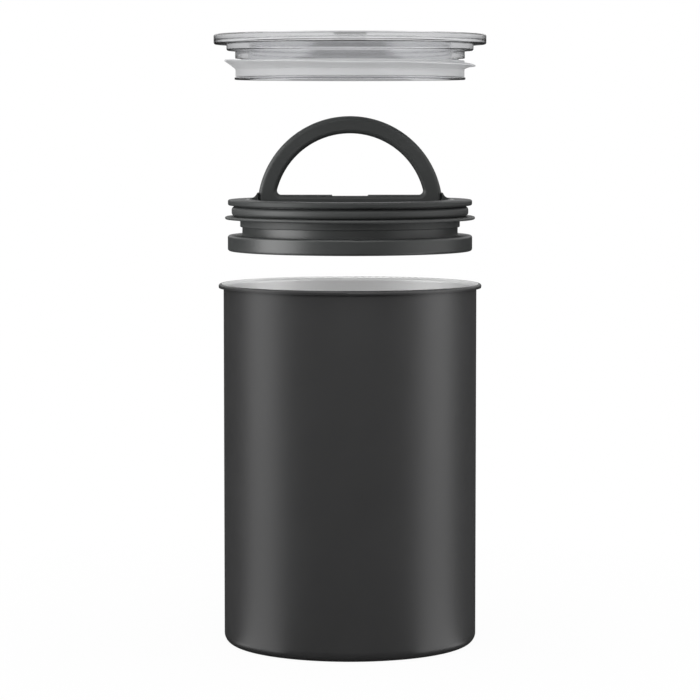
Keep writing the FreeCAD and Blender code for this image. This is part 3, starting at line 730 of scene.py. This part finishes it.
class CANISTER_OT_inner_lid(bpy.types.Operator):
    """Give the inner lid's deck, caps and bottom ring their moulded plastics"""
    bl_idname = "canister.inner_lid"
    bl_label = "Inner lid"

    def execute(self, context):
        inner_lid = context.scene.canister_inner_lid
        satin = moulded_finish("satin_plastic", inner_lid.satin, roughness=0.39,
                               grain_scale=2400.0, grain_depth=0.01 * MM, gloss=0.5)
        black = moulded_finish("black_plastic", inner_lid.plastic, roughness=0.52,
                               grain_scale=1300.0, grain_depth=0.03 * MM, gloss=0.3)
        dress(satin, "plunger_base")
        dress(black, "plunger_cover", "hinge_cap_right", "hinge_cap_left")
        return {"FINISHED"}


class CANISTER_OT_handle(bpy.types.Operator):
    """Give the folding handle its grained black plastic"""
    bl_idname = "canister.handle"
    bl_label = "Handle"

    def execute(self, context):
        inner_lid = context.scene.canister_inner_lid
        grip = moulded_finish("handle_plastic", inner_lid.plastic, roughness=0.5,
                              grain_scale=1000.0, grain_depth=0.04 * MM, gloss=0.42)
        dress(grip, "handle")
        return {"FINISHED"}


class CANISTER_OT_valve(bpy.types.Operator):
    """Give the valve's stem and button their plastic and its spring its steel"""
    bl_idname = "canister.valve"
    bl_label = "Valve"

    def execute(self, context):
        inner_lid = context.scene.canister_inner_lid
        grey = moulded_finish("valve_plastic", inner_lid.valve, roughness=0.4,
                              grain_scale=1800.0, grain_depth=0.02 * MM, gloss=0.5)
        dress(grey, "valve_stem", "valve_button")
        dress(bare_steel_finish(), "valve_spring")
        return {"FINISHED"}


class CANISTER_OT_screws(bpy.types.Operator):
    """Make the hinge screws and the clamping screws with their cross recesses"""
    bl_idname = "canister.screws"
    bl_label = "Screws"

    def execute(self, context):
        steel = bare_steel_finish()
        first_turn = math.radians(20)
        upright = Matrix.Rotation(first_turn, 4, "Z")
        upside_down = Matrix.Rotation(math.pi, 4, "X") @ upright

        low, high = (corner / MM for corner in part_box("hinge_screws"))
        head, shank, tip, reach = 1.9, 1.0, 0.6, low.z - high.z
        steps = [(head, -0.06), (shank, -0.9), (shank, reach + 0.5), (tip, reach)]
        corner = high.x - head, high.y - head, high.z
        self.make("hinge_screw_set", "hinge_screws", steel, corner, upright,
                  crown=1.8, steps=steps, arm=1.15, depth=0.75)

        low, high = (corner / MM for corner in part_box("plunger_screws"))
        head, shank, tip, reach = 2.8, 1.3, 0.8, low.z - high.z
        shoulder, under = 2.55, -1.7
        steps = [(shoulder, -0.25), (head, -0.6), (head, under), (shank, under),
                 (shank, reach + 0.6), (tip, reach)]
        corner = high.x - head, high.y - head, low.z
        self.make("clamp_screw_set", "plunger_screws", steel, corner, upside_down,
                  crown=2.1, steps=steps, arm=1.6, depth=1.2)
        return {"FINISHED"}

    def make(self, name, node, steel, corner, turn, **sizes):
        """Four screws on one node, each turned on from the last, with sizes in millimetres."""
        turn_on = 0.7
        x, y, level = corner
        meshes = []
        for number, (side, end) in enumerate(((1, 1), (-1, 1), (-1, -1), (1, -1))):
            spin = turn @ Matrix.Rotation(number * turn_on, 4, "Z")
            mesh = cross_screw(place=(side * x, end * y, level), turn=spin, **sizes)
            bmesh.ops.scale(mesh, vec=(MM, MM, MM), verts=mesh.verts)
            meshes.append(mesh)
        new_piece(name, joined(meshes), steel, "plunger", "bare_steel", node)


class CANISTER_OT_stage(bpy.types.Operator):
    """Build the floor, the white surround, the lamps, the cards and the camera"""
    bl_idname = "canister.stage"
    bl_label = "Stage"

    def execute(self, context):
        scene = context.scene
        stage = scene.canister_stage
        scene.view_settings.view_transform = "Standard"
        floor = self.floor()
        self.world(scene, stage)
        self.lamps(stage, floor)
        self.cards(stage)
        self.camera(scene, stage)
        return {"FINISHED"}

    def seen(self, finish):
        """One for rays of the camera, of mirrors and of clear plastic."""
        camera, glossy, through = finish.add(
            "ShaderNodeLightPath", out=("Is Camera Ray", "Is Glossy Ray", "Is Transmission Ray"))
        return (camera + glossy + through).at_most(1.0)

    def floor(self):
        """Pale paper that looks white, and keeps a little shade near the pot."""
        finish = new_finish("pale_floor")
        place = finish.place()
        cloud = finish.noise(place, scale=30.0)
        colour = finish.colours(cloud, shade(WHITE, 0.84), shade(WHITE, 0.88))
        paper = finish.add("ShaderNodeBsdfDiffuse", None, {"Color": colour})
        white = finish.add("ShaderNodeEmission", None, {"Color": WHITE})
        fade_start, fade_length, white_near = 0.08, 0.3, 0.96
        x, y = finish.axes(place)[:2]
        away = ((diagonal(x, y) - fade_start) / fade_length).at_least(0.0).at_most(1.0)
        share = self.seen(finish) * away.between(white_near, 1.0)
        finish.shown(finish.add("ShaderNodeMixShader", None, {0: share, 1: paper, 2: white}))
        mesh = bmesh.new()
        bmesh.ops.create_circle(mesh, cap_ends=True, radius=6.0, segments=96)
        bmesh.ops.translate(mesh, vec=(0, 0, -0.05 * MM), verts=mesh.verts)
        return staged("floor", mesh, finish.owner)

    def world(self, scene, stage):
        """White to look at, and a weaker even light on the pieces."""
        scene.world = bpy.data.worlds.new("white_studio")
        finish = Finish(scene.world)
        fill, white = (
            finish.add("ShaderNodeBackground", None, {"Color": WHITE, "Strength": strength})
            for strength in (stage.fill, 1.0))
        mixed = finish.add("ShaderNodeMixShader", None, {0: self.seen(finish), 1: fill, 2: white})
        finish.shown(mixed, "World")

    def lamps(self, stage, floor):
        """Softboxes for groups of pieces. The clear lid has none and shows the cards."""
        pot = CARRIED["canister"]
        gasket = [piece for piece in CARRIED["lid"] if piece.name == "lid_gasket_ring"]
        inner_lid = CARRIED["plunger"] + CARRIED["handle"] + CARRIED["valve"]
        plain = pot + gasket + [floor]
        pot_middle, inner_lid_middle = (0.0, 0.0, 0.14), (0.0, 0.0, 0.21)
        gasket_level = LID_SEAL_LOW.z
        front, front_size = (0.0, -1.28, 0.8), (1.0, 0.7)
        front_share, right_share, gasket_right_share = 0.4, 0.25, 0.8

        softbox("top_softbox", stage.top_light, size=(1.0, 1.0), where=(0.0, -0.15, 1.4),
                target=pot_middle, pieces=plain + inner_lid)
        softbox("front_softbox", stage.front_light, front_size, front, pot_middle, plain)
        for name, side in (("pot_left", -1), ("pot_right", 1)):
            softbox(name, stage.side_light, size=(0.62, 1.3), where=(side * 1.0, -0.12, 0.15),
                    target=pot_middle, pieces=pot)
        softbox("pot_mouth", stage.mouth_light, size=(0.085, 0.085),
                where=(0.0, 0.0, POT_TOP + 14.5 * MM), target=(0.0, 0.0, 0.0), pieces=pot)
        gasket_sides = (("gasket_left", -1, 1.0), ("gasket_right", 1, gasket_right_share))
        for name, side, share in gasket_sides:
            softbox(name, stage.gasket_light * share, size=(0.8, 1.0),
                    where=(side * 0.97, -0.3, gasket_level), target=(0.0, 0.0, gasket_level),
                    pieces=gasket)
        softbox("inner_lid_front", stage.front_light * front_share, front_size, front,
                inner_lid_middle, inner_lid)
        softbox("inner_lid_left", stage.inner_lid_light, size=(0.8, 1.0),
                where=(-0.95, -0.34, 0.2), target=inner_lid_middle, pieces=inner_lid)
        softbox("inner_lid_right", stage.inner_lid_light * right_share, size=(1.3, 1.0),
                where=(1.0, -0.25, 0.2), target=inner_lid_middle, pieces=inner_lid)

    def side_strips(self, finish):
        """Two soft strips on the floor that widen outwards from both sides of the foot."""
        start, start_width, least_width, widening = 0.043, 0.018, 0.012, 0.4
        forward, slant = 0.042, 0.12
        edge_steepness, dimmest = 2.5, 0.02
        x, y = finish.axes(finish.place())[:2]
        out = abs(x) - start
        half_width = (start_width + widening * out).at_least(least_width)
        aside = abs(y + forward + slant * out) / half_width
        return ((1 - aside) * edge_steepness).at_least(dimmest).at_most(1.0)

    def cards(self, stage):
        """Dark cards and a floor glow for reflections, and a screen behind the clear lid."""
        floor_level, glow_level, wall, wall_top = 0.3 * MM, 0.8 * MM, 1.6, 0.4
        under_pot, glow_start, glow_end = 0.03, 0.0625, 1.0
        card("dark_cards", [(under_pot, floor_level), (wall, floor_level), (wall, wall_top)],
             stage.surround, "glossy")
        card("floor_glow", [(glow_start, glow_level), (glow_end, glow_level)],
             stage.floor_glow, "glossy", pattern=self.side_strips)
        screen, before_screen, low, high = 1.7, 1.69, -0.2, 0.9
        card("grey_screen", [(screen, low), (screen, high)], stage.screen, "transmission")
        card("dark_strip", [(before_screen, low), (before_screen, high)], stage.strip,
             "transmission", start=math.radians(86), sweep=math.radians(8))

    def camera(self, scene, stage):
        """The photograph's view, with everything sharp."""
        lens = bpy.data.cameras.new("photo_camera")
        lens.sensor_width = 36.0
        lens.lens = stage.lens
        lens.dof.use_dof = False
        where = (0.0, -stage.camera_distance, stage.camera_height)
        scene.camera = facing("photo_camera", lens, where, (0.0, 0.0, stage.aim_height))


class CANISTER_PT_looks(bpy.types.Panel):
    """Settings and steps of the canister's looks"""
    bl_idname = "CANISTER_PT_looks"
    bl_label = "Canister looks"
    bl_space_type = "VIEW_3D"
    bl_region_type = "UI"
    bl_category = PANEL_TAB

    def draw(self, context):
        for name, group in GROUPS.items():
            box = self.layout.box()
            box.label(text=group.__doc__)
            for setting in group.__annotations__:
                box.prop(getattr(context.scene, name), setting)
        for step in OPERATORS:
            self.layout.operator(step.bl_idname)


GROUPS = {
    "canister_pot": PotSettings,
    "canister_lid": LidSettings,
    "canister_inner_lid": InnerLidSettings,
    "canister_stage": StageSettings,
}
OPERATORS = (
    CANISTER_OT_paint_pot,
    CANISTER_OT_clear_lid,
    CANISTER_OT_lid_gasket,
    CANISTER_OT_inner_gasket,
    CANISTER_OT_inner_lid,
    CANISTER_OT_handle,
    CANISTER_OT_valve,
    CANISTER_OT_screws,
    CANISTER_OT_stage,
)
CLASSES = (*GROUPS.values(), *OPERATORS, CANISTER_PT_looks)


def register():
    for item in CLASSES:
        bpy.utils.register_class(item)
    for name, group in GROUPS.items():
        setattr(bpy.types.Scene, name, PointerProperty(type=group))


def unregister():
    for name in GROUPS:
        delattr(bpy.types.Scene, name)
    for item in reversed(CLASSES):
        bpy.utils.unregister_class(item)


def main():
    register()
    bpy.ops.canister.paint_pot()
    bpy.ops.canister.clear_lid()
    bpy.ops.canister.lid_gasket()
    bpy.ops.canister.inner_gasket()
    bpy.ops.canister.inner_lid()
    bpy.ops.canister.handle()
    bpy.ops.canister.valve()
    bpy.ops.canister.screws()
    bpy.ops.canister.stage()


if __name__ == "__main__":
    main()
